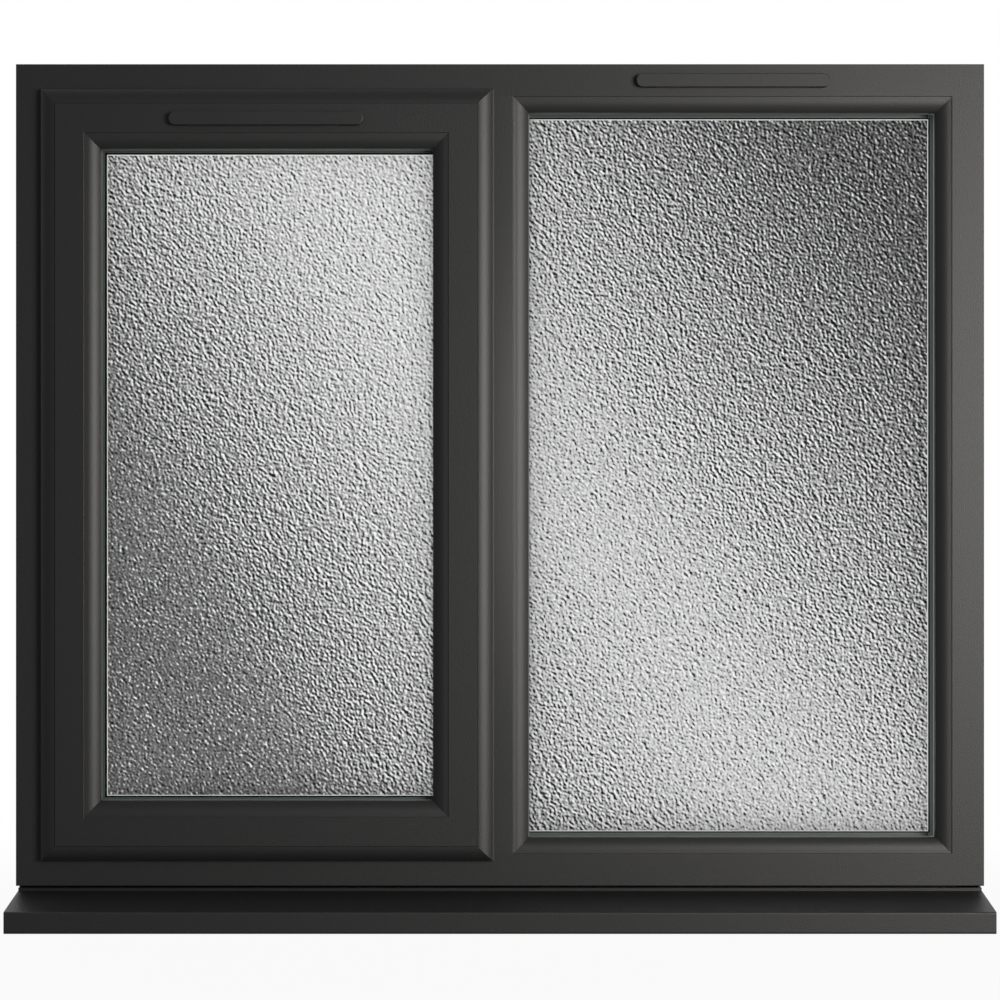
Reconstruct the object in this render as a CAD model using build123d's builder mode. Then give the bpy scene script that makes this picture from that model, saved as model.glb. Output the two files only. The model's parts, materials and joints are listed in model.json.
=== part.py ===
from build123d import *
from math import atan2, degrees
import os

# Side-hung casement window with a fixed light beside it, in millimetres.
# X runs to the right seen from outside, Y from the frame's outside face into the room,
# and Z up from the sill's bearing face, with X = 0 at mid-width.

# Outer frame
frame_width = 1190.0
frame_height = 1010.0
frame_depth = 70.0
frame_face = 40.0  # flat outside face, from the outer edge to the glazing rebate
leg_height = 20.0  # upstand on the room side that the glass and the sash close against
mullion_centre = 0.0
mullion_face = 33.0

# Sash
sash_proud = 18.0  # sash face in front of the frame face
sash_face = 36.0  # flat part of the sash face
lip_moulding = 20.2  # rounded moulding along the outer edge of the sash
lip_overlap = 9.2  # sash lip over the flat face of the frame
lip_edge = 3.5  # straight edge of the lip below the moulding
lip_nose = 4.5  # tight radius at the outer edge of the lip moulding
seal_gap = 2.0  # between sash and frame, front and back, filled by the weather seals
seal_width = 5.0
seal_inset = 2.5  # edge of the lip to the front seal
hardware_gap = 12.0  # between the sash body and the frame rebate
quirk = 0.8  # small step where a moulding leaves a flat face

# Hollow walls of the extruded members
wall = 2.8
web = 2.0
edge_round = 1.0
room_round = 3.0

# Glazing, the same in both lights
bead_width = 18.5
bead_depth = 18.0
ovolo_drop = 9.2  # fall of the bead's curve towards the glass
ovolo_nose = 3.9  # tight radius of the bead next to the glass
gasket = 3.0
gasket_width = 8.0
gasket_recess = 1.0  # gasket behind the edge of the bead
pane = 4.0
cavity = 20.0
edge_clearance = 5.0  # edge of the glass to the rebate floor
spacer_width = 9.0
spacer_show = 3.0  # spacer seen inside the edge of the bead

# Sill
sill_height = 30.0  # bearing face to the underside of the frame
sill_projection = 80.0  # nose in front of the frame face
sill_fall = 11.4  # fall of the weathered top
upstand_front = 16.6
upstand_height = 3.6
upstand_gap = 4.7  # open slot under the frame
groove_width = 1.6
groove_depth = 1.2
seat_front = 24.0
nose_height = 26.3
nose_width = 18.0
nose_round = 2.5
drip_width = 4.0
drip_depth = 3.0
bearing_front = 50.0  # front edge of the bearing face, ahead of the frame face
sill_wall = 3.0
end_cap = 2.5

# Vents, one above each light
hood_length = 237.0
hood_height = 16.5
hood_depth = 8.5
hood_drop = 1.0  # below the middle of the flat face
hood_round = 7.5
hood_wall = 1.5
hood_edge = 1.0
hood_slot_length = 190.0
hood_slot_depth = 5.0
control_length = 262.0
control_height = 20.0
control_depth = 8.0
control_round = 4.0
control_edge = 1.0
flap_length = 214.0
flap_height = 10.0
flap_depth = 3.0
control_gap = 3.0  # below the frame's upstand

# Handle on the lock stile
base_width = 28.0
base_height = 66.0
base_depth = 10.0
base_round = 8.0
base_edge = 1.0
boss_diameter = 19.0
boss_depth = 12.0
lever_length = 104.0
lever_top = 10.0  # radius at the pivot
lever_end = 8.0  # radius at the tip
lever_depth = 11.0
lever_round = 3.0

# Rectangles seen from outside are written as left, right, bottom, top.


def inset(rect, distance):
    """The rectangle moved inward on all four sides."""
    left, right, bottom, top = rect
    return (left + distance, right - distance, bottom + distance, top - distance)


half_width = frame_width / 2
frame_bottom = sill_height
frame_top = sill_height + frame_height
frame_rect = (-half_width, half_width, frame_bottom, frame_top)
mullion_left = mullion_centre - mullion_face / 2
mullion_right = mullion_centre + mullion_face / 2

rebate_bottom = frame_bottom + frame_face
rebate_top = frame_top - frame_face
sash_opening = (-half_width + frame_face, mullion_left, rebate_bottom, rebate_top)
fixed_rebate = (mullion_right, half_width - frame_face, rebate_bottom, rebate_top)

sash_rect = inset(sash_opening, -lip_overlap)
sash_rebate_width = lip_moulding + sash_face
sash_rebate = inset(sash_rect, sash_rebate_width)
sash_body = lip_overlap + hardware_gap  # lip edge to the side of the sash body
sash_leg_tip = sash_rebate_width + leg_height

# Depths behind the face of a member: the bead, a gasket, the sealed unit and a gasket up to the upstand
unit_depth = 2 * pane + cavity
glass_front = bead_depth + gasket
leg_front = glass_front + unit_depth + gasket
sash_leg_front = leg_front - sash_proud
sash_back = leg_front - seal_gap


def outside_plane(y, x=0.0, z=0.0):
    """Plane facing outward: local x to the right, local y up."""
    return Plane(origin=(x, y, z), x_dir=(1, 0, 0), z_dir=(0, -1, 0))


def inside_plane(y, x=0.0, z=0.0):
    """Plane facing the room: local x to the left seen from outside, local y up."""
    return Plane(origin=(x, y, z), x_dir=(-1, 0, 0), z_dir=(0, 1, 0))


def side_run(rect, side):
    """Start corner, end corner and inward direction of one side, going round clockwise."""
    left, right, bottom, top = rect
    if side == "left":
        return Vector(left, 0, bottom), Vector(left, 0, top), Vector(1, 0, 0)
    if side == "top":
        return Vector(left, 0, top), Vector(right, 0, top), Vector(0, 0, -1)
    if side == "right":
        return Vector(right, 0, top), Vector(right, 0, bottom), Vector(-1, 0, 0)
    return Vector(right, 0, bottom), Vector(left, 0, bottom), Vector(0, 0, 1)


def mitred_side(section, rect, side):
    """One side of a mitred rectangle, its section drawn inward from the edge and into the room."""
    start, end, inward = side_run(rect, side)
    along = (end - start).normalized()
    with BuildPart() as member:
        with BuildSketch(Plane(origin=start, x_dir=inward, z_dir=along)):
            add(section)
        extrude(amount=(end - start).length)
        split(bisect_by=Plane(origin=start, z_dir=along - inward), keep=Keep.TOP)
        split(bisect_by=Plane(origin=end, z_dir=along + inward), keep=Keep.BOTTOM)
    return member.part


def flat_slab(rect, front, depth):
    """Flat rectangular sheet from its front face into the room."""
    left, right, bottom, top = rect
    with BuildPart() as slab:
        with BuildSketch(outside_plane(front)):
            with Locations(((left + right) / 2, (bottom + top) / 2)):
                Rectangle(right - left, top - bottom)
        extrude(amount=-depth)
    return slab.part


def flat_ring(rect, width, front, depth):
    """Rectangular loop of the given width inside a rectangle."""
    left, right, bottom, top = rect
    with BuildPart() as loop:
        with BuildSketch(outside_plane(front)):
            with Locations(((left + right) / 2, (bottom + top) / 2)):
                Rectangle(right - left, top - bottom)
                Rectangle(right - left - 2 * width, top - bottom - 2 * width, mode=Mode.SUBTRACT)
        extrude(amount=-depth)
    return loop.part


def ovolo_radius(width, drop, nose):
    """Radius of the flat arc of a moulding that runs on into its tight nose without a corner."""
    return (width**2 + drop**2 - 2 * width * nose) / (2 * (drop - nose))


def ovolo_turn(width, drop, nose):
    """Angle in degrees turned by the flat arc before the nose begins."""
    return degrees(atan2(width - nose, ovolo_radius(width, drop, nose) - drop))


# Sections of the extruded members

# Frame: an L with its upstand on the room side, hollow in front chamber, main chamber and upstand.
with BuildSketch() as frame_section:
    with BuildLine():
        Polyline(
            (0, 0),
            (frame_face, 0),
            (frame_face, leg_front),
            (frame_face + leg_height, leg_front),
            (frame_face + leg_height, frame_depth),
            (0, frame_depth),
            close=True,
        )
    make_face()
    fillet(frame_section.vertices().group_by(Axis.X)[0], edge_round)
    fillet(frame_section.vertices().sort_by(Axis.X)[-2:].sort_by(Axis.Y)[-1], room_round)
    with Locations((wall, wall)):
        Rectangle(
            frame_face - 2 * wall,
            bead_depth - wall,
            align=(Align.MIN, Align.MIN),
            mode=Mode.SUBTRACT,
        )
    with Locations((wall, bead_depth + web)):
        Rectangle(
            frame_face - 2 * wall,
            leg_front - bead_depth - 2 * web,
            align=(Align.MIN, Align.MIN),
            mode=Mode.SUBTRACT,
        )
    with Locations((wall, leg_front + wall)):
        Rectangle(
            frame_face + leg_height - 2 * wall,
            frame_depth - leg_front - 2 * wall,
            align=(Align.MIN, Align.MIN),
            mode=Mode.SUBTRACT,
        )

# Mullion: a T with an upstand to each light.
with BuildSketch() as mullion_section:
    with Locations((0, leg_front / 2)):
        Rectangle(mullion_face, leg_front)
    with Locations((0, (leg_front + frame_depth) / 2)):
        Rectangle(mullion_face + 2 * leg_height, frame_depth - leg_front)
    fillet(mullion_section.vertices().group_by(Axis.Y)[-1], room_round)
    with Locations((0, wall)):
        Rectangle(
            mullion_face - 2 * wall,
            leg_front - wall - web,
            align=(Align.CENTER, Align.MIN),
            mode=Mode.SUBTRACT,
        )
    with Locations((0, leg_front + wall)):
        Rectangle(
            mullion_face + 2 * leg_height - 2 * wall,
            frame_depth - leg_front - 2 * wall,
            align=(Align.CENTER, Align.MIN),
            mode=Mode.SUBTRACT,
        )

# Sash: a moulded lip over the frame, a hollow body, and an upstand behind the glass.
lip_rise = sash_proud - quirk - seal_gap - lip_edge
lip_radius = ovolo_radius(lip_moulding, lip_rise, lip_nose)
lip_turn = ovolo_turn(lip_moulding, lip_rise, lip_nose)
with BuildSketch() as sash_section:
    with BuildLine():
        lip_crown = JernArc((lip_moulding, -sash_proud + quirk), (-1, 0), lip_radius, -lip_turn)
        JernArc(lip_crown @ 1, lip_crown % 1, lip_nose, lip_turn - 90)
        Line((0, -seal_gap - lip_edge), (0, -seal_gap))
        Polyline(
            (lip_moulding, -sash_proud + quirk),
            (lip_moulding, -sash_proud),
            (sash_rebate_width, -sash_proud),
            (sash_rebate_width, sash_leg_front),
            (sash_leg_tip, sash_leg_front),
            (sash_leg_tip, sash_back),
            (sash_body, sash_back),
            (sash_body, -seal_gap),
            (0, -seal_gap),
        )
    make_face()
    fillet(sash_section.vertices().sort_by(Axis.X)[-2:].sort_by(Axis.Y)[-1], room_round)
    with Locations((sash_body + wall, -sash_proud + wall)):
        Rectangle(
            sash_rebate_width - sash_body - 2 * wall,
            sash_proud - wall - web,
            align=(Align.MIN, Align.MIN),
            mode=Mode.SUBTRACT,
        )
    with Locations((sash_body + wall, 0)):
        Rectangle(
            sash_rebate_width - sash_body - 2 * wall,
            sash_leg_front - web,
            align=(Align.MIN, Align.MIN),
            mode=Mode.SUBTRACT,
        )
    with Locations((sash_body + wall, sash_leg_front + wall)):
        Rectangle(
            sash_leg_tip - sash_body - 2 * wall,
            sash_back - sash_leg_front - 2 * wall,
            align=(Align.MIN, Align.MIN),
            mode=Mode.SUBTRACT,
        )


def bead_section(face):
    """Glazing bead behind a face: a quirk at the joint, then an ovolo down to the glass."""
    flat_radius = ovolo_radius(bead_width, ovolo_drop, ovolo_nose)
    flat_turn = ovolo_turn(bead_width, ovolo_drop, ovolo_nose)
    with BuildSketch() as section:
        with BuildLine():
            flat_arc = JernArc((0, face + quirk), (1, 0), flat_radius, flat_turn)
            JernArc(flat_arc @ 1, flat_arc % 1, ovolo_nose, 90 - flat_turn)
            Polyline(
                (bead_width, face + quirk + ovolo_drop),
                (bead_width, face + bead_depth),
                (0, face + bead_depth),
                (0, face + quirk),
            )
        make_face()
    return section.sketch


pieces = {}

# Outer frame and mullion
frame_names = {
    "left": "frame_left_jamb",
    "top": "frame_head",
    "right": "frame_right_jamb",
    "bottom": "frame_bottom_rail",
}
for side, name in frame_names.items():
    pieces[name] = mitred_side(frame_section.sketch, frame_rect, side)

# The mullion stands between the rebates, notched at both ends over the frame's upstand.
with BuildPart() as mullion:
    with BuildSketch(Plane(origin=(mullion_centre, 0, rebate_bottom), x_dir=(1, 0, 0), z_dir=(0, 0, 1))):
        add(mullion_section.sketch)
    extrude(amount=rebate_top - rebate_bottom)
    with BuildSketch(outside_plane(leg_front)):
        with Locations((mullion_centre, rebate_bottom)):
            Rectangle(mullion_face + 2 * leg_height, leg_height, align=(Align.CENTER, Align.MIN))
        with Locations((mullion_centre, rebate_top)):
            Rectangle(mullion_face + 2 * leg_height, leg_height, align=(Align.CENTER, Align.MAX))
    extrude(amount=-(frame_depth - leg_front), mode=Mode.SUBTRACT)
pieces["mullion"] = mullion.part

# Sash
sash_names = {
    "left": "sash_hinge_stile",
    "top": "sash_top_rail",
    "right": "sash_lock_stile",
    "bottom": "sash_bottom_rail",
}
for side, name in sash_names.items():
    pieces[name] = mitred_side(sash_section.sketch, sash_rect, side)

# Glazing of both lights, each set back from the face of its own members
for light, rebate, face in (("sash", sash_rebate, -sash_proud), ("fixed", fixed_rebate, 0.0)):
    for side in ("left", "top", "right", "bottom"):
        pieces[f"{light}_bead_{side}"] = mitred_side(bead_section(face), rebate, side)
    glass = inset(rebate, edge_clearance)
    gasket_rect = inset(rebate, bead_width - gasket_recess - gasket_width)
    spacer_rect = inset(rebate, bead_width + spacer_show - spacer_width)
    unit = face + glass_front
    pieces[f"{light}_outer_gasket"] = flat_ring(gasket_rect, gasket_width, face + bead_depth, gasket)
    pieces[f"{light}_outer_pane"] = flat_slab(glass, unit, pane)
    pieces[f"{light}_spacer"] = flat_ring(spacer_rect, spacer_width, unit + pane, cavity)
    pieces[f"{light}_inner_pane"] = flat_slab(glass, unit + pane + cavity, pane)
    pieces[f"{light}_inner_gasket"] = flat_ring(gasket_rect, gasket_width, unit + unit_depth, gasket)

# Weather seals: one under the sash lip, one on the frame's upstand behind the sash
pieces["sash_weather_seal"] = flat_ring(inset(sash_rect, seal_inset), seal_width, -seal_gap, seal_gap)
stop_overlap = leg_height - hardware_gap
stop_rect = inset(sash_opening, hardware_gap + (stop_overlap - seal_width) / 2)
pieces["frame_weather_seal"] = flat_ring(stop_rect, seal_width, sash_back, seal_gap)

# Sill: one extruded outline with a weathered top, an open slot under the frame and a dropped nose
upstand_top = sill_height - upstand_gap
slope_back = upstand_top - upstand_height
nose_top = slope_back - sill_fall
nose_bottom = nose_top - nose_height
nose_back = -sill_projection + nose_width
with BuildSketch() as sill_outline:
    with BuildLine():
        Polyline(
            (-bearing_front, 0),
            (frame_depth, 0),
            (frame_depth, sill_height),
            (seat_front, sill_height),
            (seat_front, upstand_top),
            (upstand_front, upstand_top),
            (upstand_front, slope_back - groove_depth),
            (upstand_front - groove_width, slope_back - groove_depth),
            (upstand_front - groove_width, slope_back),
            (-sill_projection, nose_top),
            (-sill_projection, nose_bottom),
            (nose_back, nose_bottom),
            close=True,
        )
    make_face()
    nose_corners = sill_outline.vertices().group_by(Axis.X)[0]
    fillet(nose_corners, nose_round)
    with Locations((-sill_projection + nose_width / 2, nose_bottom)):
        Rectangle(drip_width, 2 * drip_depth, mode=Mode.SUBTRACT)

sill_ends = {"left": -half_width, "right": half_width - end_cap}
sill_length = frame_width - 2 * end_cap
with BuildPart() as sill:
    with BuildSketch(Plane(origin=(-sill_length / 2, 0, 0), x_dir=(0, 1, 0), z_dir=(1, 0, 0))):
        add(sill_outline.sketch)
        with Locations((frame_depth - sill_wall, sill_wall)):
            Rectangle(
                frame_depth - seat_front,
                sill_height - 2 * sill_wall,
                align=(Align.MAX, Align.MIN),
                mode=Mode.SUBTRACT,
            )
    extrude(amount=sill_length)
pieces["sill"] = sill.part
for side, start in sill_ends.items():
    with BuildPart() as cap:
        with BuildSketch(Plane(origin=(start, 0, 0), x_dir=(0, 1, 0), z_dir=(1, 0, 0))):
            add(sill_outline.sketch)
        extrude(amount=end_cap)
    pieces[f"sill_end_cap_{side}"] = cap.part


def vent_hood(x, y, z):
    """Pill-shaped cover with softened edges, hollow behind and open along its underside."""
    with BuildPart() as hood:
        with BuildSketch(outside_plane(y, x, z)):
            RectangleRounded(hood_length, hood_height, hood_round)
        extrude(amount=hood_depth)
        fillet(hood.faces().sort_by(Axis.Y)[0].edges(), hood_edge)
        with BuildSketch(outside_plane(y, x, z)):
            RectangleRounded(
                hood_length - 2 * hood_wall,
                hood_height - 2 * hood_wall,
                hood_round - hood_wall,
            )
        extrude(amount=hood_depth - hood_wall, mode=Mode.SUBTRACT)
        with BuildSketch(outside_plane(y, x, z - hood_height / 2)):
            Rectangle(hood_slot_length, 4 * hood_wall)
        extrude(amount=hood_slot_depth, mode=Mode.SUBTRACT)
    return hood.part


def vent_control(x, y, z):
    """Room-side control: a rounded body with a raised flap."""
    with BuildPart() as control:
        with BuildSketch(inside_plane(y, x, z)):
            RectangleRounded(control_length, control_height, control_round)
        extrude(amount=control_depth)
        chamfer(control.faces().sort_by(Axis.Y)[-1].edges(), control_edge)
        with BuildSketch(inside_plane(y + control_depth, x, z)):
            SlotOverall(flap_length, flap_height)
        extrude(amount=flap_depth)
        chamfer(control.faces().sort_by(Axis.Y)[-1].edges(), control_edge)
    return control.part


# Vents, centred over the glass of their own light
sash_vent_x = (sash_rect[0] + sash_rect[1]) / 2
sash_vent_z = sash_rect[3] - lip_moulding - sash_face / 2
fixed_vent_x = (fixed_rebate[0] + fixed_rebate[1]) / 2
fixed_vent_z = frame_top - frame_face / 2
sash_control_z = rebate_top - leg_height - control_gap - control_height / 2
pieces["sash_vent_hood"] = vent_hood(sash_vent_x, -sash_proud, sash_vent_z - hood_drop)
pieces["fixed_vent_hood"] = vent_hood(fixed_vent_x, 0.0, fixed_vent_z - hood_drop)
pieces["sash_vent_control"] = vent_control(sash_vent_x, sash_back, sash_control_z)
pieces["fixed_vent_control"] = vent_control(fixed_vent_x, frame_depth, fixed_vent_z)

# Handle, halfway up the part of the lock stile that shows in the room
stile_near = mullion_left - leg_height
stile_far = sash_rect[1] - sash_leg_tip
handle_x = (stile_near + stile_far) / 2
handle_z = (sash_rect[2] + sash_rect[3]) / 2
with BuildPart() as handle_base:
    with BuildSketch(inside_plane(sash_back, handle_x, handle_z)):
        RectangleRounded(base_width, base_height, base_round)
    extrude(amount=base_depth)
    chamfer(handle_base.faces().sort_by(Axis.Y)[-1].edges(), base_edge)
pieces["handle_base"] = handle_base.part

# The lever is a tapered arm hanging from a round boss.
lever_y = sash_back + base_depth
with BuildPart() as handle_lever:
    with BuildSketch(inside_plane(lever_y + boss_depth, handle_x, handle_z)):
        with Locations((0, 0)):
            Circle(lever_top)
        with Locations((0, -lever_length)):
            Circle(lever_end)
        make_hull()
    extrude(amount=lever_depth)
    fillet(handle_lever.faces().sort_by(Axis.Y)[-1].edges(), lever_round)
    fillet(handle_lever.faces().sort_by(Axis.Y)[0].edges(), lever_round)
    with BuildSketch(inside_plane(lever_y, handle_x, handle_z)):
        Circle(boss_diameter / 2)
    extrude(amount=boss_depth + lever_depth / 2)
pieces["handle_lever"] = handle_lever.part

os.makedirs("parts", exist_ok=True)
for name, piece in pieces.items():
    piece.label = name
    export_step(piece, f"parts/{name}.step")
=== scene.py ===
import bmesh
import bpy
import json
import math
import numpy as np
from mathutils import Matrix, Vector


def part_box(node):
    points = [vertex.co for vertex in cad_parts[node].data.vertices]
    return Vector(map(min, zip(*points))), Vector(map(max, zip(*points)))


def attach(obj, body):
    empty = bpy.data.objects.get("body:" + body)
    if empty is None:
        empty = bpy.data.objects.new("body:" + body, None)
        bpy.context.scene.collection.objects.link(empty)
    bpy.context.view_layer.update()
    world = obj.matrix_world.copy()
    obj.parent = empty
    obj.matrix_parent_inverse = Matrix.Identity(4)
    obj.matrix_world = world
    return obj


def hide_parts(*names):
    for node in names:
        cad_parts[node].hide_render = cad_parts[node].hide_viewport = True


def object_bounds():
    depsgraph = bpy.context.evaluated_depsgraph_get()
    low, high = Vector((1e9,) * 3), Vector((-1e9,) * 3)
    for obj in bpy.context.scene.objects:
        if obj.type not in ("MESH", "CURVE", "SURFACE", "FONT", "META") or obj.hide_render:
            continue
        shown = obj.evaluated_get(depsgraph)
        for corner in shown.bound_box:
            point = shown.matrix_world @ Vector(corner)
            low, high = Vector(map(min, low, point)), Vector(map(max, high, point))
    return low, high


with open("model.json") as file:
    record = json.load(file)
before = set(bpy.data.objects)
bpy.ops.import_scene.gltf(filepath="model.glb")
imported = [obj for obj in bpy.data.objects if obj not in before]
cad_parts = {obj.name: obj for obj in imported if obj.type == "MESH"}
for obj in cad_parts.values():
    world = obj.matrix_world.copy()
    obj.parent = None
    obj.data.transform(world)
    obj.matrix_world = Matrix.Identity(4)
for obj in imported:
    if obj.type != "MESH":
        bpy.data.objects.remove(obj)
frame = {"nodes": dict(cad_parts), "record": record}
cad_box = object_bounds()
nodes = frame["nodes"]

# Sizes in metres, in the frame of the CAD: X right seen from outside, Y into the room, Z up.
MM = 0.001


def low_corner(node):
    """Left, front and bottom of a CAD node's box."""
    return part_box(node)[0]


def high_corner(node):
    """Right, back and top of a CAD node's box."""
    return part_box(node)[1]


# Sizes that the CAD sets
FRAME_DEPTH = high_corner("frame_head").y
LEG_HEIGHT = high_corner("mullion").x - low_corner("fixed_bead_left").x
LEG_FRONT = high_corner("fixed_inner_gasket").y
FRAME_FACE = high_corner("frame_left_jamb").x - low_corner("frame_left_jamb").x - LEG_HEIGHT
SASH_FRONT = low_corner("sash_top_rail").y
SASH_BACK = high_corner("sash_top_rail").y
SASH_LEG_FRONT = high_corner("sash_inner_gasket").y
SASH_REBATE = low_corner("sash_bead_left").x - low_corner("sash_hinge_stile").x
LIP_BACK = low_corner("sash_weather_seal").y
BEAD_WIDTH = high_corner("fixed_bead_left").x - low_corner("fixed_bead_left").x
BEAD_DEPTH = high_corner("fixed_bead_left").y
QUIRK = low_corner("fixed_bead_left").y

# Sash lip, from its outer edge inward
LIP_FOOT = 1.6 * MM
LIP_FOOT_RISE = 0.9 * MM
LIP_FOOT_FALL = 0.24 * MM
LIP_MOULDING = 20.2 * MM
LIP_TILT = math.radians(2.5)
LIP_JOINT_WIDTH = 0.7 * MM
LIP_JOINT_DEPTH = 1.3 * MM
LIP_JOINT_ARRIS = 0.3 * MM
SASH_BODY = 21.2 * MM

# Beads, with a humped one beside the mullion
BEAD_FACET = 3.7 * MM
BEAD_TILT = math.radians(5)
NOSE_TILT = math.radians(44.5)
NOSE_EDGE = 0.8 * MM
MULLION_BEAD_FACET = 1.6 * MM
MULLION_BEAD_TILT = math.radians(7.5)
MULLION_BEAD_HUMP = 1.7 * MM
MULLION_BEAD_HUMP_RISE = 0.42 * MM

# Rounded edges
ARRIS = 0.5 * MM
FRAME_ARRIS = 1.0 * MM
REBATE_ARRIS = 1.0 * MM
ROOM_ROUND = 3 * MM
MOULDING_STEPS = 18
ROUND_STEPS = 4
PIECE_SMOOTH = math.radians(32)
RELIEF_SMOOTH = math.radians(60)
NODE_SMOOTH = math.radians(30)

# What shows between bead and glass: left, right, bottom, top of each light
SPACER_SHOW = {
    "sash": (2.6 * MM, -2.2 * MM, 2.4 * MM, 2.4 * MM),
    "fixed": (-2.2 * MM, 3.0 * MM, 3.0 * MM, 3.0 * MM),
}
GASKET_SHOW = {
    "sash": (0.4 * MM, -1.0 * MM, 0.5 * MM, 0.5 * MM),
    "fixed": (1.2 * MM, 0.5 * MM, 0.5 * MM, 0.5 * MM),
}

# How far each spacer's front lies behind that of its CAD node, and where the far right begins, from which
# spacer and gasket are painted paler as painted light in the bead's shade
SPACER_BACK = {"sash": 3 * MM, "fixed": 8 * MM}
PAINTED_LIGHT_FROM = low_corner("fixed_bead_right").x - 5 * MM

# Plastic: colour, gloss, mottling and pressed grain
GREY = (0.0101, 0.0103, 0.0107, 1)
PLASTIC_ROUGHNESS = 0.48
PLASTIC_GRAIN = 0.57
PLASTIC_IOR = 1.5
HANDLE_ROUGHNESS = 0.38
HANDLE_GRAIN = 0.05
MOTTLE = 0.1
MOTTLE_RANGE = (0.3, 0.7)
MOTTLE_SCALE = 900.0
GRAIN_SCALE = 650.0
GRAIN_DEPTH = 0.4 * MM

# Mullion's crown: where it starts, its bend, its height, how it fades above and below, and the share left
CROWN_FROM = -27 * MM
CROWN_BEND = 1.4
CROWN_HEIGHT = 0.55
CROWN_REACH = (0.05, 0.4)
CROWN_ENDS = 0.2

# Spacer and gasket; the pale colours are painted light at the far right, in the bead's shade, and the black
# is painted shade on the spacer's walls
# Painted shade: colour of the spacer's walls that look into the pane
PAINTED_SHADE_BLACK = (0.003, 0.003, 0.003, 1)
SPACER_GREEN = (0.052, 0.068, 0.062, 1)
# Painted light: the spacer's colour at the far right, in the bead's shade
SPACER_PAINTED_LIGHT = (0.3, 0.39, 0.36, 1)
SPACER_SPECULAR = 0.5
SPACER_ROUGHNESS = 0.5
FRONT_FACING = 0.5
RUBBER = (0.12, 0.13, 0.125, 1)
# Painted light: the gasket's colour at the far right, in the bead's shade
RUBBER_PAINTED_LIGHT = (0.75, 0.78, 0.76, 1)
RUBBER_ROUGHNESS = 0.55
RUBBER_GRAIN = 0.2
RUBBER_GRAIN_SCALE = 900.0
RUBBER_GRAIN_DEPTH = 0.3 * MM

# Clear glass
GLASS_TINT = (0.993, 0.993, 0.993, 1)
SHEEN_ROUGHNESS = 0.12
SHEEN_IOR = 1.25

# Stippled glass: relief, painted light and shade on its bumps, the painted reflection tone that they swing
# about, and a painted highlight along the rim
STIPPLE_GRID = 2.3 * MM
STIPPLE_RELIEF = 0.6 * MM
STIPPLE_SCALE = 280.0
STIPPLE_STRETCH = 0.85
STIPPLE_LIGHT = math.radians(37)
STIPPLE_STEP = 0.8 * MM
LATTICE_TURN = (0.6, 0.45, 0.8)
FRONT_TOLERANCE = 0.01 * MM
RIDGE_WEIGHT = 9.5
RIDGE_LIVELY = 7.0
NOISE_MIDDLE = 0.5
DOT_SCALE = 400.0
DOT_WEIGHT = 6.6
DOT_LIVELY = -4.5
LINEAR_GAIN = 0.41
CUBIC_GAIN = 0.045
FOLD_SOFTNESS = 0.8
FLOOR_SOFTNESS = 0.25
TONE_MIDDLE = 0.52
TONE_SWING = 0.46
TONE_GAMMA = 2.2
# Painted highlight along the glass edge beside the spacer: its width and tone
RIM_HIGHLIGHT_WIDTH = 1.1 * MM
RIM_HIGHLIGHT_TONE = 0.95
STIPPLE_ROUGHNESS = 0.35
STIPPLE_SPECULAR = 0.15
TRANSLUCENCY = 0.97

# Painted reflection and painted light and shade of each pane: level of the painted reflection at the origin
# and its change per metre, the ridge where it folds over, its floor, the shares of the bumps' painted
# contrast that are left towards the floor (calm) and towards the ridge (pale), and how much the strong
# bumps lean to painted light or to painted shade
PANE_PAINTED_LIGHT = {
    "sash": {
        "level": 0.265, "rightward": 2.19, "upward": 1.17, "fold": 0.95, "floor": -0.19,
        "calm": 0.36, "calm_until": 0.16, "pale": 0.8, "pale_from": 0.4, "pale_until": 0.8, "lean": 0.03,
    },
    "fixed": {
        "level": 1.553, "rightward": -1.76, "upward": -1.29, "fold": 0.775, "floor": -0.44,
        "calm": 0.75, "calm_until": 0.1, "pale": 0.6, "pale_from": 0.35, "pale_until": 0.66, "lean": -0.04,
    },
}

# Photograph's view
CAMERA_DISTANCE = 3.2
CAMERA_HEIGHT = 0.5043
CAMERA_LENS = 93.75
SENSOR_WIDTH = 36

# Studio
WHITE = (1, 1, 1, 1)
FLOOR_REACH = 6.0
FLOOR_GAP = 0.5 * MM
FLOOR_GREY = (0.15, 0.15, 0.15, 1)
FLOOR_ROUGHNESS = 0.9
FLOOR_WHITE = 0.94
FLOOR_FADE = (0.5, 1.3)
ROOM_STRENGTH = 0.62
DIM_STRENGTH = 0.131
DIM_TINT = (0.95, 0.985, 1.07, 1)
SCATTER_SHARE = 0.2
KEY_PLACE = (1.9, -2.6, 0.8)
KEY_TARGET = (0.1, 0, 0.5)
KEY_SIZE = (1.5, 1.25)
KEY_POWER = 106
KEY_COLOUR = (1, 0.975, 0.93)
BACK_PLACE = (0, 3.0, 0.5)
BACK_TARGET = (0, 0, 0.5)
BACK_SIZE = (1.2, 1.2)
BACK_POWER = 40.3
BACK_COLOUR = (1, 1, 1)


# Rectangles, given as left, right, bottom, top

def box_rect(left, right, bottom, top):
    """Rectangle taken from the outer faces of four CAD nodes."""
    return (low_corner(left).x, high_corner(right).x, low_corner(bottom).z, high_corner(top).z)


def node_rect(node):
    """Outer rectangle of one CAD node."""
    low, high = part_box(node)
    return (low.x, high.x, low.z, high.z)


def opened(rect, reveal):
    """The rectangle drawn in by its own amount on each side."""
    return (rect[0] + reveal[0], rect[1] - reveal[1], rect[2] + reveal[2], rect[3] - reveal[3])


def rebate_rect(light):
    """Rebate that the beads of one light fill."""
    return box_rect(*[f"{light}_bead_{side}" for side in ("left", "right", "bottom", "top")])


def sight_rect(light):
    """Opening left by the beads of one light."""
    return opened(rebate_rect(light), (BEAD_WIDTH,) * 4)


# Materials

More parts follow.
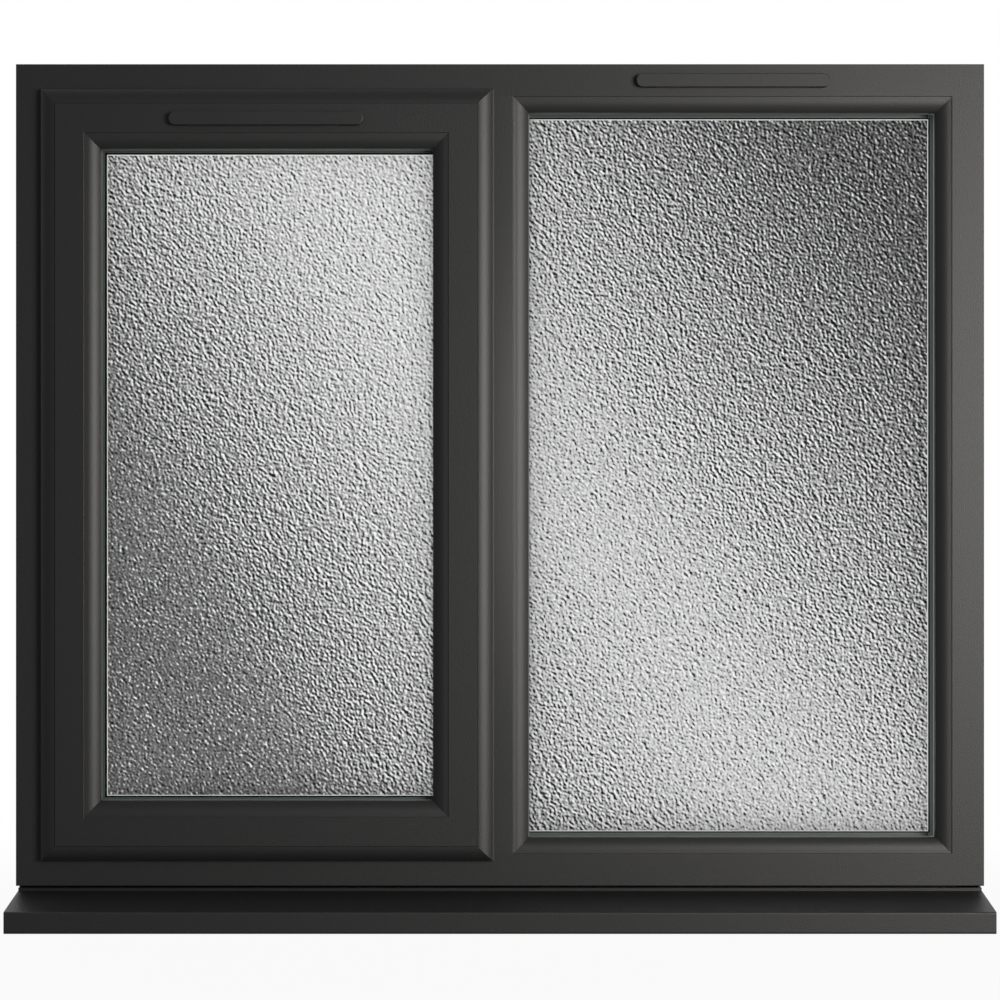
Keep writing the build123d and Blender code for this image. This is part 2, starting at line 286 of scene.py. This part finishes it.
class NodeTree:
    """A node tree with short ways to add, set and link its nodes."""

    def __init__(self, tree):
        self.nodes = tree.nodes
        self.links = tree.links

    def put(self, socket, value):
        """Links a socket to an input, or sets a plain value on it."""
        if isinstance(value, bpy.types.NodeSocket):
            self.links.new(value, socket)
        else:
            socket.default_value = value

    def fill(self, node, **values):
        """Sets a node's options and inputs by name."""
        for key, value in values.items():
            if hasattr(node, key):
                setattr(node, key, value)
            else:
                self.put(node.inputs[key.replace("_", " ")], value)
        return node

    def add(self, kind, **values):
        return self.fill(self.nodes.new(kind), **values)

    def calc(self, operation, *values):
        """Result of a Math node."""
        node = self.add("ShaderNodeMath", operation=operation)
        for socket, value in zip(node.inputs, values):
            self.put(socket, value)
        return node.outputs[0]

    def vector(self, operation, *values):
        """Vector result of a Vector Math node."""
        node = self.add("ShaderNodeVectorMath", operation=operation)
        for socket, value in zip(node.inputs, values):
            self.put(socket, value)
        return node.outputs["Vector"]

    def apart(self, vector):
        """X, Y and Z of a vector."""
        return self.add("ShaderNodeSeparateXYZ", Vector=vector).outputs

    def ramp(self, value, start, end, low, high, kind="SMOOTHSTEP"):
        """A value carried from one range to another."""
        node = self.add("ShaderNodeMapRange", interpolation_type=kind, Value=value)
        self.fill(node, From_Min=start, From_Max=end, To_Min=low, To_Max=high)
        return node.outputs["Result"]

    def colour(self, share, first, second, blend="MIX"):
        """Colour result of a Mix node."""
        node = self.add("ShaderNodeMix", data_type="RGBA", blend_type=blend, Factor=share)
        self.put(node.inputs[6], first)
        self.put(node.inputs[7], second)
        return node.outputs[2]

    def blend(self, share, first, second):
        """Shader result of a Mix Shader node."""
        node = self.add("ShaderNodeMixShader", Fac=share)
        self.put(node.inputs[1], first)
        self.put(node.inputs[2], second)
        return node.outputs[0]

    def bump(self, place, scale, strength, depth):
        """Bump node over a fine noise."""
        pores = self.add("ShaderNodeTexNoise", Vector=place, Scale=scale, Detail=2.0)
        return self.add("ShaderNodeBump", Strength=strength, Distance=depth, Height=pores.outputs["Fac"])

    def show(self, surface, output="Material Output"):
        self.put(self.nodes[output].inputs["Surface"], surface)


def new_material(name):
    """Material, its tree and its Principled shader."""
    material = bpy.data.materials.new(name)
    material.use_nodes = True
    tree = NodeTree(material.node_tree)
    return material, tree, tree.nodes["Principled BSDF"]


def mullion_crown(tree, place):
    """Normal of a slightly crowned face, which leans to the right and most at half height."""
    x, _, z = tree.apart(place)
    off = tree.calc("MAXIMUM", tree.calc("SUBTRACT", x, CROWN_FROM), 0.0)
    fall = tree.calc("MULTIPLY", tree.calc("MULTIPLY", off, off), -CROWN_BEND)
    away = tree.calc("ABSOLUTE", tree.calc("SUBTRACT", z, CROWN_HEIGHT))
    ends = tree.ramp(away, *CROWN_REACH, 1.0, CROWN_ENDS)
    height = tree.calc("MULTIPLY", fall, ends)
    return tree.add("ShaderNodeBump", Strength=1.0, Distance=1.0, Height=height).outputs["Normal"]


def plastic(name, roughness=PLASTIC_ROUGHNESS, grain=PLASTIC_GRAIN, crowned=False):
    """Foiled plastic: a dark even colour with fine mottling and a fine pressed grain."""
    material, tree, shader = new_material(name)
    place = tree.add("ShaderNodeTexCoord").outputs["Object"]
    mottle = tree.add("ShaderNodeTexNoise", Vector=place, Scale=MOTTLE_SCALE, Detail=3.0)
    shade = tree.ramp(mottle.outputs["Fac"], *MOTTLE_RANGE, 1 - MOTTLE, 1 + MOTTLE, "LINEAR")
    bump = tree.bump(place, GRAIN_SCALE, grain, GRAIN_DEPTH)
    if crowned:
        tree.fill(bump, Normal=mullion_crown(tree, place))
    tree.fill(shader, Base_Color=tree.colour(1.0, GREY, shade, "MULTIPLY"), Normal=bump.outputs["Normal"])
    tree.fill(shader, Roughness=roughness, IOR=PLASTIC_IOR)
    return material


def spacer_bar(name):
    """Greenish grey bar in front, painted paler at the far right as painted light in the bead's shade; near
    black and without sheen as painted shade along the edge that looks into the pane.
    """
    material, tree, shader = new_material(name)
    surface = tree.add("ShaderNodeNewGeometry")
    facing = tree.apart(surface.outputs["True Normal"])["Y"]
    front = tree.calc("GREATER_THAN", tree.calc("ABSOLUTE", facing), FRONT_FACING)
    # Painted light: the far right is paler to make up for the bead's shade there
    pale = tree.calc("GREATER_THAN", tree.apart(surface.outputs["Position"])["X"], PAINTED_LIGHT_FROM)
    bar = tree.colour(pale, SPACER_GREEN, SPACER_PAINTED_LIGHT)
    # Painted shade: walls that look into the pane are near black, and below they lose their sheen
    tree.fill(shader, Base_Color=tree.colour(front, PAINTED_SHADE_BLACK, bar), Roughness=SPACER_ROUGHNESS)
    tree.fill(shader, Specular_IOR_Level=tree.calc("MULTIPLY", front, SPACER_SPECULAR))
    return material


def gasket_rubber(name):
    """Grey glazing gasket with a fine mould grain, painted paler at the far right as painted light in the
    bead's shade.
    """
    material, tree, shader = new_material(name)
    place = tree.add("ShaderNodeTexCoord").outputs["Object"]
    # Painted light: paler at the far right to make up for the bead's shade there
    pale = tree.calc("GREATER_THAN", tree.apart(place)["X"], PAINTED_LIGHT_FROM)
    bump = tree.bump(place, RUBBER_GRAIN_SCALE, RUBBER_GRAIN, RUBBER_GRAIN_DEPTH)
    tree.fill(shader, Base_Color=tree.colour(pale, RUBBER, RUBBER_PAINTED_LIGHT), Normal=bump.outputs["Normal"])
    tree.fill(shader, Roughness=RUBBER_ROUGHNESS)
    return material


def clear_glass(name):
    """Float glass: seen straight through, with a mirror sheen that grows at the sides."""
    material, tree, shader = new_material(name)
    tree.nodes.remove(shader)
    through = tree.add("ShaderNodeBsdfTransparent", Color=GLASS_TINT)
    sheen = tree.add("ShaderNodeBsdfGlossy", Roughness=SHEEN_ROUGHNESS)
    edge = tree.add("ShaderNodeFresnel", IOR=SHEEN_IOR)
    tree.show(tree.blend(edge.outputs[0], through.outputs[0], sheen.outputs[0]))
    return material


def stipple_noise(tree, place, scale=STIPPLE_SCALE):
    """The bumps of the patterned glass: one noise, turned so that its lattice lies askew to the pane."""
    aligned = tree.add("ShaderNodeVectorRotate", rotation_type="Y_AXIS", Vector=place, Angle=STIPPLE_LIGHT)
    drawn = tree.vector("MULTIPLY", aligned.outputs[0], (1, 1, STIPPLE_STRETCH))
    turned = tree.add("ShaderNodeVectorRotate", rotation_type="EULER_XYZ", Vector=drawn)
    tree.fill(turned, Rotation=LATTICE_TURN)
    return tree.add("ShaderNodeTexNoise", Vector=turned.outputs[0], Scale=scale, Detail=0.0).outputs["Fac"]


def painted_reflection_level(tree, painted_tone, x, z):
    """Painted reflection: a slow tone across a pane, from a tilted plane folded over at its ridge and held
    at its floor.
    """
    level = tree.calc("MULTIPLY_ADD", x, painted_tone["rightward"], painted_tone["level"])
    level = tree.calc("MULTIPLY_ADD", z, painted_tone["upward"], level)
    level = tree.calc("SMOOTH_MIN", level, tree.calc("SUBTRACT", 2 * painted_tone["fold"], level), FOLD_SOFTNESS)
    return tree.calc("SMOOTH_MAX", level, painted_tone["floor"], FLOOR_SOFTNESS)


def painted_bump_light(tree, painted_tone, place, level):
    """Painted light and shade about that painted reflection: ridges lit and shaded by their slopes, and
    finer dots of painted glint and shade where the glass is calm.
    """
    calmer = tree.ramp(level, painted_tone["floor"], painted_tone["calm_until"], painted_tone["calm"], 1.0)
    paler = tree.ramp(level, painted_tone["pale_from"], painted_tone["pale_until"], 1.0, painted_tone["pale"])
    lively = tree.calc("MULTIPLY", calmer, paler)
    step = (STIPPLE_STEP * math.cos(STIPPLE_LIGHT), 0, STIPPLE_STEP * math.sin(STIPPLE_LIGHT))
    beside = tree.vector("ADD", place, step)
    # Painted light and shade: a bump is lit where its height falls toward the painted light's direction
    slope = tree.calc("SUBTRACT", stipple_noise(tree, place), stipple_noise(tree, beside))
    painted_ridges = tree.calc("MULTIPLY", slope, tree.calc("MULTIPLY_ADD", lively, RIDGE_LIVELY, RIDGE_WEIGHT))
    painted_dots = tree.calc("SUBTRACT", stipple_noise(tree, place, DOT_SCALE), NOISE_MIDDLE)
    painted_dots = tree.calc("MULTIPLY", painted_dots, tree.calc("MULTIPLY_ADD", lively, DOT_LIVELY, DOT_WEIGHT))
    painted_bumps = tree.calc("ADD", painted_ridges, painted_dots)
    square = tree.calc("MULTIPLY", painted_bumps, painted_bumps)
    gain = tree.calc("MULTIPLY_ADD", lively, LINEAR_GAIN, tree.calc("MULTIPLY", square, CUBIC_GAIN))
    lean = tree.calc("MULTIPLY_ADD", square, painted_tone["lean"], -painted_tone["lean"])
    return tree.calc("MULTIPLY_ADD", painted_bumps, gain, lean)


def painted_rim_highlight(tree, light, x, z):
    """Painted highlight: one along the bright edge of the glass beside the spacer, nought elsewhere."""
    left, right, bottom, top = opened(sight_rect(light), SPACER_SHOW[light])
    across = tree.calc("MINIMUM", tree.calc("SUBTRACT", x, left), tree.calc("SUBTRACT", right, x))
    upright = tree.calc("MINIMUM", tree.calc("SUBTRACT", z, bottom), tree.calc("SUBTRACT", top, z))
    return tree.calc("LESS_THAN", tree.calc("MINIMUM", across, upright), RIM_HIGHLIGHT_WIDTH)


def patterned_glass(light):
    """Stippled glass: bumps in painted light and shade over a painted reflection, a slow change of tone,
    with a painted highlight along the rim; its smooth side is clear.
    """
    material, tree, shader = new_material(f"{light}_patterned")
    place = tree.add("ShaderNodeTexCoord").outputs["Object"]
    x, y, z = tree.apart(place)
    # Painted reflection: a slow tone across the pane, then painted light and shade on its bumps
    level = painted_reflection_level(tree, PANE_PAINTED_LIGHT[light], x, z)
    painted_swing = painted_bump_light(tree, PANE_PAINTED_LIGHT[light], place, level)
    painted_tone = tree.calc("TANH", tree.calc("ADD", level, painted_swing))
    painted_tone = tree.calc("MULTIPLY_ADD", painted_tone, TONE_SWING, TONE_MIDDLE)
    # Painted highlight along the rim of the glass
    painted_tone = tree.calc("MAXIMUM", painted_tone, tree.calc("MULTIPLY", painted_rim_highlight(tree, light, x, z), RIM_HIGHLIGHT_TONE))
    colour = tree.calc("POWER", painted_tone, TONE_GAMMA)
    tree.fill(shader, Base_Color=colour, Roughness=STIPPLE_ROUGHNESS, Specular_IOR_Level=STIPPLE_SPECULAR)
    behind = tree.add("ShaderNodeBsdfTranslucent", Color=colour)
    lit = tree.blend(TRANSLUCENCY, shader.outputs[0], behind.outputs[0])
    clear = tree.add("ShaderNodeBsdfTransparent")
    low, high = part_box(f"{light}_inner_pane")
    smooth_side = tree.calc("GREATER_THAN", y, (low.y + high.y) / 2)
    tree.show(tree.blend(smooth_side, lit, clear.outputs[0]))
    return material


looks = {
    "frame_plastic": plastic("frame_plastic"),
    "bead_plastic": plastic("bead_plastic"),
    "sill_plastic": plastic("sill_plastic"),
    "vent_plastic": plastic("vent_plastic"),
    "mullion": plastic("mullion_plastic", crowned=True),
    "handle_metal": plastic("handle_metal", HANDLE_ROUGHNESS, HANDLE_GRAIN),
    "clear_glass": clear_glass("clear_glass"),
    "spacer_bar": spacer_bar("spacer_bar"),
    "gasket_rubber": gasket_rubber("gasket_rubber"),
}
for part in frame["record"]["subparts"]:
    if part["material_slot"] in looks:
        mesh = nodes[part["node"]].data
        mesh.materials.clear()
        mesh.materials.append(looks.get(part["node"], looks[part["material_slot"]]))


# Shapes

def moulding(width, facet, start, end):
    """Curve that falls away from (0, 0): a facet at the start angle, then one arc to the end angle."""
    radius = (width - facet) / (math.sin(end) - math.sin(start))
    fall = facet * math.tan(start)
    curve = [(0.0, 0.0)] if facet else []
    for k in range(MOULDING_STEPS + 1):
        angle = start + (end - start) * k / MOULDING_STEPS
        across = facet + radius * (math.sin(angle) - math.sin(start))
        curve.append((across, fall + radius * (math.cos(start) - math.cos(angle))))
    return curve


def softened(corners):
    """A closed outline whose corners, given as u, v and radius, are rounded."""
    outline = []
    count = len(corners)
    for index, (u, v, radius) in enumerate(corners):
        if radius == 0:
            outline.append((u, v))
            continue
        here = Vector((u, v))
        before = (Vector(corners[index - 1][:2]) - here).normalized()
        after = (Vector(corners[(index + 1) % count][:2]) - here).normalized()
        half = before.angle(after) / 2
        reach = radius / math.tan(half)
        centre = here + (before + after).normalized() * radius / math.sin(half)
        first = here + before * reach - centre
        last = here + after * reach - centre
        turn = first.angle_signed(last)
        for k in range(ROUND_STEPS + 1):
            angle = -turn * k / ROUND_STEPS
            cos, sin = math.cos(angle), math.sin(angle)
            across = centre.x + first.x * cos - first.y * sin
            depth = centre.y + first.x * sin + first.y * cos
            outline.append((across, depth))
    return outline


def piece(name, verts, faces, stands_for, slot_name, look=None):
    """A mesh that rides on the window and stands for its CAD node."""
    mesh = bpy.data.meshes.new(name)
    mesh.from_pydata([tuple(v) for v in verts], [], faces)
    shape = bmesh.new()
    shape.from_mesh(mesh)
    bmesh.ops.recalc_face_normals(shape, faces=shape.faces)
    shape.to_mesh(mesh)
    shape.free()
    mesh.shade_smooth()
    mesh.set_sharp_from_angle(angle=PIECE_SMOOTH)
    mesh.materials.append(look or looks[slot_name])
    made = bpy.data.objects.new(name, mesh)
    bpy.context.scene.collection.objects.link(made)
    weighted = made.modifiers.new("weighted", "WEIGHTED_NORMAL")
    weighted.keep_sharp = True
    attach(made, "root")
    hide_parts(stands_for)


def prism_faces(count):
    """Side walls and the two end caps between two rings of points."""
    faces = [(i, (i + 1) % count, count + (i + 1) % count, count + i) for i in range(count)]
    faces.append(tuple(range(count)))
    faces.append(tuple(range(2 * count - 1, count - 1, -1)))
    return faces


# Direction inward and along for each side of a rectangle
SIDES = {
    "left": (Vector((1, 0, 0)), Vector((0, 0, 1))),
    "top": (Vector((0, 0, -1)), Vector((1, 0, 0))),
    "right": (Vector((-1, 0, 0)), Vector((0, 0, -1))),
    "bottom": (Vector((0, 0, 1)), Vector((-1, 0, 0))),
}


def mitred(node, outline, rect, side, slot_name):
    """One side of a mitred rectangle, from an outline given as u inward and v into the room."""
    left, right, bottom, top = rect
    starts = {
        "left": ((left, bottom), top - bottom),
        "top": ((left, top), right - left),
        "right": ((right, top), top - bottom),
        "bottom": ((right, bottom), right - left),
    }
    (x, z), length = starts[side]
    inward, along = SIDES[side]
    corner = Vector((x, 0, z))
    depth = Vector((0, 1, 0))
    near = [corner + inward * u + depth * v + along * u for u, v in outline]
    far = [corner + inward * u + depth * v + along * (length - u) for u, v in outline]
    piece(node + "_skin", near + far, prism_faces(len(outline)), node, slot_name)


def frame_outline():
    """Section of the outer frame: a flat face and an upstand on the room side."""
    return softened([
        (0, 0, FRAME_ARRIS),
        (FRAME_FACE, 0, REBATE_ARRIS),
        (FRAME_FACE, LEG_FRONT, 0),
        (FRAME_FACE + LEG_HEIGHT, LEG_FRONT, ARRIS),
        (FRAME_FACE + LEG_HEIGHT, FRAME_DEPTH, ROOM_ROUND),
        (0, FRAME_DEPTH, FRAME_ARRIS),
    ])


def sash_outline():
    """Section of the sash: a moulded lip, a narrow joint, a flat face and an upstand on the room side."""
    lip_start = LIP_MOULDING - LIP_JOINT_WIDTH
    lip_front = SASH_FRONT + QUIRK
    curve = moulding(lip_start - LIP_FOOT, 0, LIP_TILT, NOSE_TILT)
    lip = [(lip_start - u, lip_front + v, 0) for u, v in reversed(curve)]
    lip[0] = (*lip[0][:2], NOSE_EDGE)
    foot = LIP_BACK - LIP_FOOT_RISE
    return softened([
        (0, LIP_BACK, 0),
        (0, foot, 0),
        (LIP_FOOT, foot - LIP_FOOT_FALL, 0),
        *lip,
        (lip_start, lip_front + LIP_JOINT_DEPTH, 0),
        (LIP_MOULDING, lip_front + LIP_JOINT_DEPTH, 0),
        (LIP_MOULDING, SASH_FRONT, LIP_JOINT_ARRIS),
        (SASH_REBATE, SASH_FRONT, REBATE_ARRIS),
        (SASH_REBATE, SASH_LEG_FRONT, 0),
        (SASH_REBATE + LEG_HEIGHT, SASH_LEG_FRONT, ARRIS),
        (SASH_REBATE + LEG_HEIGHT, SASH_BACK, ROOM_ROUND),
        (SASH_BODY, SASH_BACK, ARRIS),
        (SASH_BODY, LIP_BACK, 0),
    ])


def bead_outline(face, facet=BEAD_FACET, tilt=BEAD_TILT, hump=0.0, hump_rise=0.0):
    """Section of a bead behind a flat face; a hump may stand before its facet."""
    curve = moulding(BEAD_WIDTH - hump, facet, tilt, NOSE_TILT)
    corners = [(hump + u, face + QUIRK + v, 0) for u, v in curve]
    if hump:
        corners.insert(0, (0, face + QUIRK - hump_rise, 0))
    corners[-1] = (*corners[-1][:2], NOSE_EDGE)
    return softened(corners + [(BEAD_WIDTH, face + BEAD_DEPTH, 0), (0, face + BEAD_DEPTH, 0)])


def mullion_skin():
    """T-section post: a front bar, and a wider leg behind that stops at the frame's upstand."""
    low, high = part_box("mullion")
    left, right = low.x + LEG_HEIGHT, high.x - LEG_HEIGHT
    bar = softened([
        (left, 0, ARRIS),
        (right, 0, REBATE_ARRIS),
        (right, LEG_FRONT, 0),
        (left, LEG_FRONT, 0),
    ])
    leg = softened([
        (low.x, LEG_FRONT, ARRIS),
        (high.x, LEG_FRONT, ARRIS),
        (high.x, FRAME_DEPTH, ROOM_ROUND),
        (low.x, FRAME_DEPTH, ROOM_ROUND),
    ])
    verts, faces = [], []
    for outline, short in ((bar, -REBATE_ARRIS), (leg, LEG_HEIGHT)):
        first = len(verts)
        for z in (low.z + short, high.z - short):
            verts += [(x, y, z) for x, y in outline]
        faces += [tuple(first + index for index in face) for face in prism_faces(len(outline))]
    piece("mullion_skin", verts, faces, "mullion", "frame_plastic", looks["mullion"])


def loop(name, node, inner, front, back, slot_name):
    """Flat rectangular loop from the outside of its CAD node to an inner rectangle, closed on all faces."""
    verts = []
    for y in (front, back):
        for left, right, bottom, top in (node_rect(node), inner):
            verts += [(left, y, bottom), (right, y, bottom), (right, y, top), (left, y, top)]
    faces = []
    for k in range(4):
        n = (k + 1) % 4
        faces.append((k, n, 4 + n, 4 + k))
        faces.append((8 + k, 12 + k, 12 + n, 8 + n))
        faces.append((k, 8 + k, 8 + n, n))
        faces.append((4 + k, 4 + n, 12 + n, 12 + k))
    piece(name, verts, faces, node, slot_name)


def pane_sheet(node):
    """Closed pane with a fine grid on its outer face."""
    low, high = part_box(node)
    columns = round((high.x - low.x) / STIPPLE_GRID)
    rows = round((high.z - low.z) / STIPPLE_GRID)
    across = np.linspace(low.x, high.x, columns + 1)
    upward = np.linspace(low.z, high.z, rows + 1)
    grid_x, grid_z = np.meshgrid(across, upward)
    front = np.column_stack([grid_x.ravel(), np.full(grid_x.size, low.y), grid_z.ravel()])
    corners = ((low.x, low.z), (high.x, low.z), (high.x, high.z), (low.x, high.z))
    back = [(x, high.y, z) for x, z in corners]
    first = grid_x.size
    index = np.arange(first).reshape(rows + 1, columns + 1)
    quads = np.column_stack([
        index[:-1, :-1].ravel(), index[:-1, 1:].ravel(), index[1:, 1:].ravel(), index[1:, :-1].ravel(),
    ])
    walls = [
        [*index[0, ::-1], first, first + 1],
        [*index[::-1, -1], first + 1, first + 2],
        [*index[-1, :], first + 2, first + 3],
        [*index[:, 0], first + 3, first],
        [first + 3, first + 2, first + 1, first],
    ]
    mesh = bpy.data.meshes.new(node + "_sheet")
    mesh.from_pydata(front.tolist() + back, [], [tuple(map(int, face)) for face in [*quads, *walls]])
    sheet = bpy.data.objects.new(node + "_sheet", mesh)
    bpy.context.scene.collection.objects.link(sheet)
    return sheet


def stipple_group(node):
    """Geometry Nodes group that sinks the outer face by the stipple's noise."""
    group = bpy.data.node_groups.new(node + "_stipple", "GeometryNodeTree")
    group.interface.new_socket("Geometry", in_out="INPUT", socket_type="NodeSocketGeometry")
    group.interface.new_socket("Geometry", in_out="OUTPUT", socket_type="NodeSocketGeometry")
    tree = NodeTree(group)
    start = tree.add("NodeGroupInput")
    end = tree.add("NodeGroupOutput")
    place = tree.add("GeometryNodeInputPosition").outputs[0]
    on_front = tree.calc("LESS_THAN", tree.apart(place)["Y"], low_corner(node).y + FRONT_TOLERANCE)
    sink = tree.calc("MULTIPLY_ADD", stipple_noise(tree, place), -STIPPLE_RELIEF, STIPPLE_RELIEF)
    shift = tree.add("ShaderNodeCombineXYZ", Y=sink)
    move = tree.add("GeometryNodeSetPosition", Geometry=start.outputs[0], Selection=on_front)
    tree.fill(move, Offset=shift.outputs[0])
    tree.put(end.inputs[0], move.outputs[0])
    return group


def stippled_pane(light):
    """Pane whose outer face carries the stipple as real relief."""
    node = f"{light}_inner_pane"
    sheet = pane_sheet(node)
    sheet.modifiers.new("stipple", "NODES").node_group = stipple_group(node)
    depsgraph = bpy.context.evaluated_depsgraph_get()
    relief = bpy.data.meshes.new_from_object(sheet.evaluated_get(depsgraph))
    bpy.data.objects.remove(sheet)
    relief.shade_smooth()
    relief.set_sharp_from_angle(angle=RELIEF_SMOOTH)
    relief.materials.append(patterned_glass(light))
    pane = bpy.data.objects.new(node + "_stippled", relief)
    bpy.context.scene.collection.objects.link(pane)
    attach(pane, "root")
    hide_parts(node)


frame_names = {
    "left": "frame_left_jamb",
    "top": "frame_head",
    "right": "frame_right_jamb",
    "bottom": "frame_bottom_rail",
}
sash_names = {
    "left": "sash_hinge_stile",
    "top": "sash_top_rail",
    "right": "sash_lock_stile",
    "bottom": "sash_bottom_rail",
}
for names, outline in ((frame_names, frame_outline()), (sash_names, sash_outline())):
    rect = box_rect(names["left"], names["right"], names["bottom"], names["top"])
    for side, node in names.items():
        mitred(node, outline, rect, side, "frame_plastic")

for light, face in (("sash", SASH_FRONT), ("fixed", 0.0)):
    outlines = dict.fromkeys(SIDES, bead_outline(face))
    if light == "fixed":
        hump = (MULLION_BEAD_HUMP, MULLION_BEAD_HUMP_RISE)
        outlines["left"] = bead_outline(face, MULLION_BEAD_FACET, MULLION_BEAD_TILT, *hump)
    for side, outline in outlines.items():
        mitred(f"{light}_bead_{side}", outline, rebate_rect(light), side, "bead_plastic")

mullion_skin()

for light in ("sash", "fixed"):
    low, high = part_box(f"{light}_spacer")
    inner = opened(sight_rect(light), SPACER_SHOW[light])
    loop(f"{light}_spacer_bar", f"{light}_spacer", inner, low.y + SPACER_BACK[light], high.y, "spacer_bar")
    low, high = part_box(f"{light}_outer_gasket")
    inner = opened(sight_rect(light), GASKET_SHOW[light])
    loop(f"{light}_gasket_lip", f"{light}_outer_gasket", inner, low.y, high.y, "gasket_rubber")

stippled_pane("sash")
stippled_pane("fixed")

for node in nodes.values():
    node.data.shade_smooth()
    node.data.set_sharp_from_angle(angle=NODE_SMOOTH)


# Studio

def studio_floor():
    """Floor that shows nearly white to the camera near the window and white farther off."""
    size = FLOOR_REACH
    level = cad_box[0].z - FLOOR_GAP
    corners = [(-size, -size, level), (size, -size, level), (size, size, level), (-size, size, level)]
    mesh = bpy.data.meshes.new("studio_floor")
    mesh.from_pydata(corners, [], [(0, 1, 2, 3)])
    floor = bpy.data.objects.new("studio_floor", mesh)
    bpy.context.scene.collection.objects.link(floor)
    material, tree, shader = new_material("studio_floor")
    tree.fill(shader, Base_Color=FLOOR_GREY, Roughness=FLOOR_ROUGHNESS)
    glow = tree.add("ShaderNodeEmission", Strength=1.0)
    path = tree.add("ShaderNodeLightPath").outputs
    away = tree.add("ShaderNodeVectorMath", operation="LENGTH")
    tree.put(away.inputs[0], tree.add("ShaderNodeTexCoord").outputs["Object"])
    white = tree.ramp(away.outputs["Value"], *FLOOR_FADE, FLOOR_WHITE, 1.0)
    share = tree.calc("MULTIPLY", path["Is Camera Ray"], white)
    share = tree.calc("MAXIMUM", share, path["Is Transmission Ray"])
    tree.show(tree.blend(share, shader.outputs[0], glow.outputs[0]))
    mesh.materials.append(material)


def studio_world():
    """White to the camera and in what lies behind the window; a dim room to other mirror and glass rays."""
    world = bpy.data.worlds.new("studio")
    bpy.context.scene.world = world
    world.use_nodes = True
    tree = NodeTree(world.node_tree)
    room = tree.fill(tree.nodes["Background"], Color=WHITE, Strength=ROOM_STRENGTH)
    white = tree.add("ShaderNodeBackground", Color=WHITE, Strength=1.0)
    dim = tree.add("ShaderNodeBackground", Color=DIM_TINT, Strength=DIM_STRENGTH)
    path = tree.add("ShaderNodeLightPath").outputs
    direction = tree.add("ShaderNodeTexCoord").outputs["Generated"]
    behind = tree.calc("GREATER_THAN", tree.apart(direction)["Y"], 0.0)
    scattered = tree.calc("MULTIPLY", path["Is Transmission Ray"], SCATTER_SHARE)
    mirrored = tree.calc("MULTIPLY", tree.calc("MAXIMUM", path["Is Glossy Ray"], scattered), behind)
    seen = tree.calc("MAXIMUM", path["Is Camera Ray"], mirrored)
    by_glass = tree.calc("MAXIMUM", path["Is Glossy Ray"], path["Is Transmission Ray"])
    unlit = tree.blend(by_glass, room.outputs[0], dim.outputs[0])
    tree.show(tree.blend(seen, unlit, white.outputs[0]), "World Output")


def softbox(name, place, target, size, power, colour):
    """Rectangular lamp that faces its target."""
    lamp = bpy.data.lights.new(name, "AREA")
    lamp.shape = "RECTANGLE"
    lamp.size, lamp.size_y = size
    lamp.energy = power
    lamp.color = colour
    holder = bpy.data.objects.new(name, lamp)
    holder.location = place
    holder.rotation_euler = (Vector(target) - Vector(place)).to_track_quat("-Z", "Y").to_euler()
    bpy.context.scene.collection.objects.link(holder)
    return holder


def photograph_camera():
    """Level camera in front of the window."""
    data = bpy.data.cameras.new("camera")
    data.lens = CAMERA_LENS
    data.sensor_width = SENSOR_WIDTH
    camera = bpy.data.objects.new("camera", data)
    camera.location = (0, -CAMERA_DISTANCE, CAMERA_HEIGHT)
    camera.rotation_euler = (math.radians(90), 0, 0)
    bpy.context.scene.collection.objects.link(camera)
    bpy.context.scene.camera = camera


studio_floor()
studio_world()
softbox("key", KEY_PLACE, KEY_TARGET, KEY_SIZE, KEY_POWER, KEY_COLOUR)
backlight = softbox("backlight", BACK_PLACE, BACK_TARGET, BACK_SIZE, BACK_POWER, BACK_COLOUR)
backlight.visible_camera = False
backlight.visible_glossy = False
photograph_camera()
bpy.context.scene.view_settings.view_transform = "Standard"
